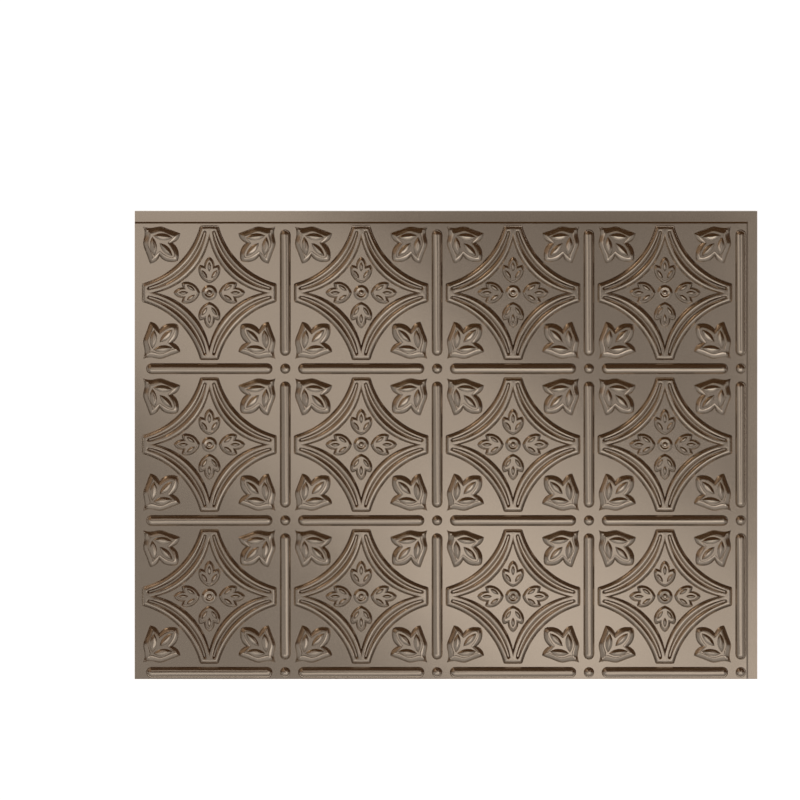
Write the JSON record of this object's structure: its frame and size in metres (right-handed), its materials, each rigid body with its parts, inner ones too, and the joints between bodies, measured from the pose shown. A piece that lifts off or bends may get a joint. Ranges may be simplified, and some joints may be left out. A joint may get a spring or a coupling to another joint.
{
  "type": "backsplash panel",
  "caption": "Formed vinyl wall panel with a pressed-tin tile relief, bead rows between the tiles and plain lap edges on two sides, glued to a wall behind a worktop.",
  "frame": {"origin": "middle of the sheet's outline, at the height of the underside of its lap edges, on which it lies", "axes": "+X along the long side towards the side lap, +Y along the short side towards the top lap, +Z out of the patterned face"},
  "size_m": [0.6248, 0.47, 0.0055],
  "materials": {
    "vinyl": "satin metallic bronze"
  },
  "bodies": {
    "root": {"panel": "vinyl"}
  },
  "joints": []
}
